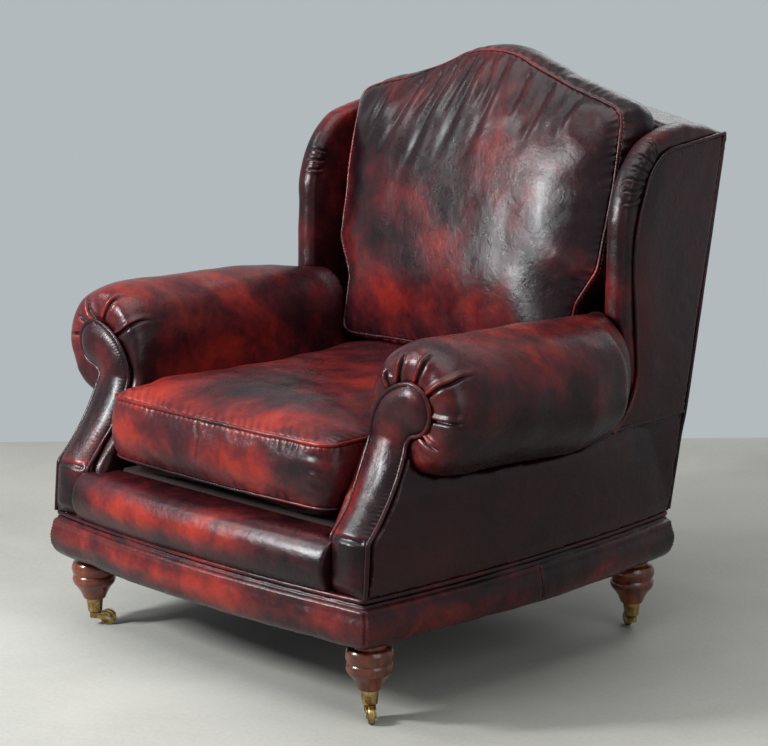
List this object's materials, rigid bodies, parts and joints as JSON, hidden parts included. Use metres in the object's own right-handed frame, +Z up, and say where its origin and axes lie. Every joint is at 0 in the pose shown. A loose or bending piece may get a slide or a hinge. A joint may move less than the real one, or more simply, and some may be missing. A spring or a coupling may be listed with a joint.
{
  "type": "leather wing armchair on castors",
  "caption": "Leather wing armchair with rolled arms, loose seat and back cushions, a padded seat band and turned legs that stand on brass cup castors.",
  "frame": {"origin": "on the floor, below the middle of the chair's bounding box", "axes": "+X to the right of someone who looks at the chair's front, the chair faces -Y, +Z up"},
  "size_m": [1.0062, 0.9648, 1.0381],
  "materials": {
    "leather": "aged oxblood hide, rubbed and waxed, semi-gloss, paler red where it is worn",
    "frame_beech": "planed, unfinished",
    "wing_plywood": "raw",
    "leg_mahogany": "dark polished",
    "aged_brass": "aged, dull in the turnings",
    "plated_steel": "zinc plated",
    "webbing": "woven jute",
    "deck_cloth": "dark brown lining cloth",
    "dust_cloth": "black cambric"
  },
  "bodies": {
    "chair": {"band_front": "leather", "band_back": "leather", "band_left": "leather", "band_right": "leather", "band_welt": "leather", "front_lip": "leather", "arm_pad_left": "leather", "arm_pad_right": "leather", "arm_facing_left": "leather", "arm_facing_right": "leather", "outside_arm_left": "leather", "outside_arm_right": "leather", "shell_welts": "leather", "wing_pad_left": "leather", "wing_pad_right": "leather", "outside_wing_left": "leather", "outside_wing_right": "leather", "inside_back": "leather", "outside_back": "leather", "front_rail": "frame_beech", "back_rail": "frame_beech", "side_rail_left": "frame_beech", "side_rail_right": "frame_beech", "corner_blocks": "frame_beech", "arm_post_left": "frame_beech", "arm_post_right": "frame_beech", "arm_rail_left": "frame_beech", "arm_rail_right": "frame_beech", "back_upright_left": "frame_beech", "back_upright_right": "frame_beech", "crest_rail": "frame_beech", "lower_back_rail": "frame_beech", "wing_board_left": "wing_plywood", "wing_board_right": "wing_plywood", "leg_front_left": "leg_mahogany", "leg_front_right": "leg_mahogany", "leg_rear_left": "leg_mahogany", "leg_rear_right": "leg_mahogany", "castor_cups": "aged_brass", "seat_springs": "plated_steel", "leg_bolts": "plated_steel", "back_webbing": "webbing", "seat_deck": "deck_cloth", "dust_cover": "dust_cloth"},
    "seat_cushion": {"seat_cushion": "leather", "seat_cushion_welts": "leather"},
    "back_cushion": {"back_cushion": "leather", "back_cushion_welt": "leather"},
    "castor_front_left": {"castor_horn_front_left": "aged_brass", "castor_axle_front_left": "plated_steel"},
    "wheel_front_left": {"castor_wheel_front_left": "aged_brass"},
    "castor_front_right": {"castor_horn_front_right": "aged_brass", "castor_axle_front_right": "plated_steel"},
    "wheel_front_right": {"castor_wheel_front_right": "aged_brass"},
    "castor_rear_left": {"castor_horn_rear_left": "aged_brass", "castor_axle_rear_left": "plated_steel"},
    "wheel_rear_left": {"castor_wheel_rear_left": "aged_brass"},
    "castor_rear_right": {"castor_horn_rear_right": "aged_brass", "castor_axle_rear_right": "plated_steel"},
    "wheel_rear_right": {"castor_wheel_rear_right": "aged_brass"}
  },
  "joints": [
    {"name": "seat_cushion_slide", "type": "slide", "parent": "chair", "child": "seat_cushion", "axis": [0, -1, 0], "range_m": [0, 0.35]},
    {"name": "back_cushion_lift", "type": "slide", "parent": "chair", "child": "back_cushion", "axis": [0, 0, 1], "range_m": [0, 0.25]},
    {"name": "castor_front_left_swivel", "type": "hinge", "parent": "chair", "child": "castor_front_left", "pos_m": [-0.36, -0.39492, 0.0189], "axis": [0, 0, 1], "continuous": true},
    {"name": "castor_front_left_roll", "type": "hinge", "parent": "castor_front_left", "child": "wheel_front_left", "pos_m": [-0.34303, -0.37795, 0.0145], "axis": [-0.7071, 0.7071, 0], "continuous": true},
    {"name": "castor_front_right_swivel", "type": "hinge", "parent": "chair", "child": "castor_front_right", "pos_m": [0.36, -0.39492, 0.0189], "axis": [0, 0, 1], "continuous": true},
    {"name": "castor_front_right_roll", "type": "hinge", "parent": "castor_front_right", "child": "wheel_front_right", "pos_m": [0.37839, -0.41035, 0.0145], "axis": [0.6428, 0.766, 0], "continuous": true},
    {"name": "castor_rear_left_swivel", "type": "hinge", "parent": "chair", "child": "castor_rear_left", "pos_m": [-0.36, 0.26908, 0.0189], "axis": [0, 0, 1], "continuous": true},
    {"name": "castor_rear_left_roll", "type": "hinge", "parent": "castor_rear_left", "child": "wheel_rear_left", "pos_m": [-0.36417, 0.29272, 0.0145], "axis": [-0.9848, -0.1736, 0], "continuous": true},
    {"name": "castor_rear_right_swivel", "type": "hinge", "parent": "chair", "child": "castor_rear_right", "pos_m": [0.36, 0.26908, 0.0189], "axis": [0, 0, 1], "continuous": true},
    {"name": "castor_rear_right_roll", "type": "hinge", "parent": "castor_rear_right", "child": "wheel_rear_right", "pos_m": [0.34034, 0.28285, 0.0145], "axis": [-0.5736, -0.8192, 0], "continuous": true}
  ]
}
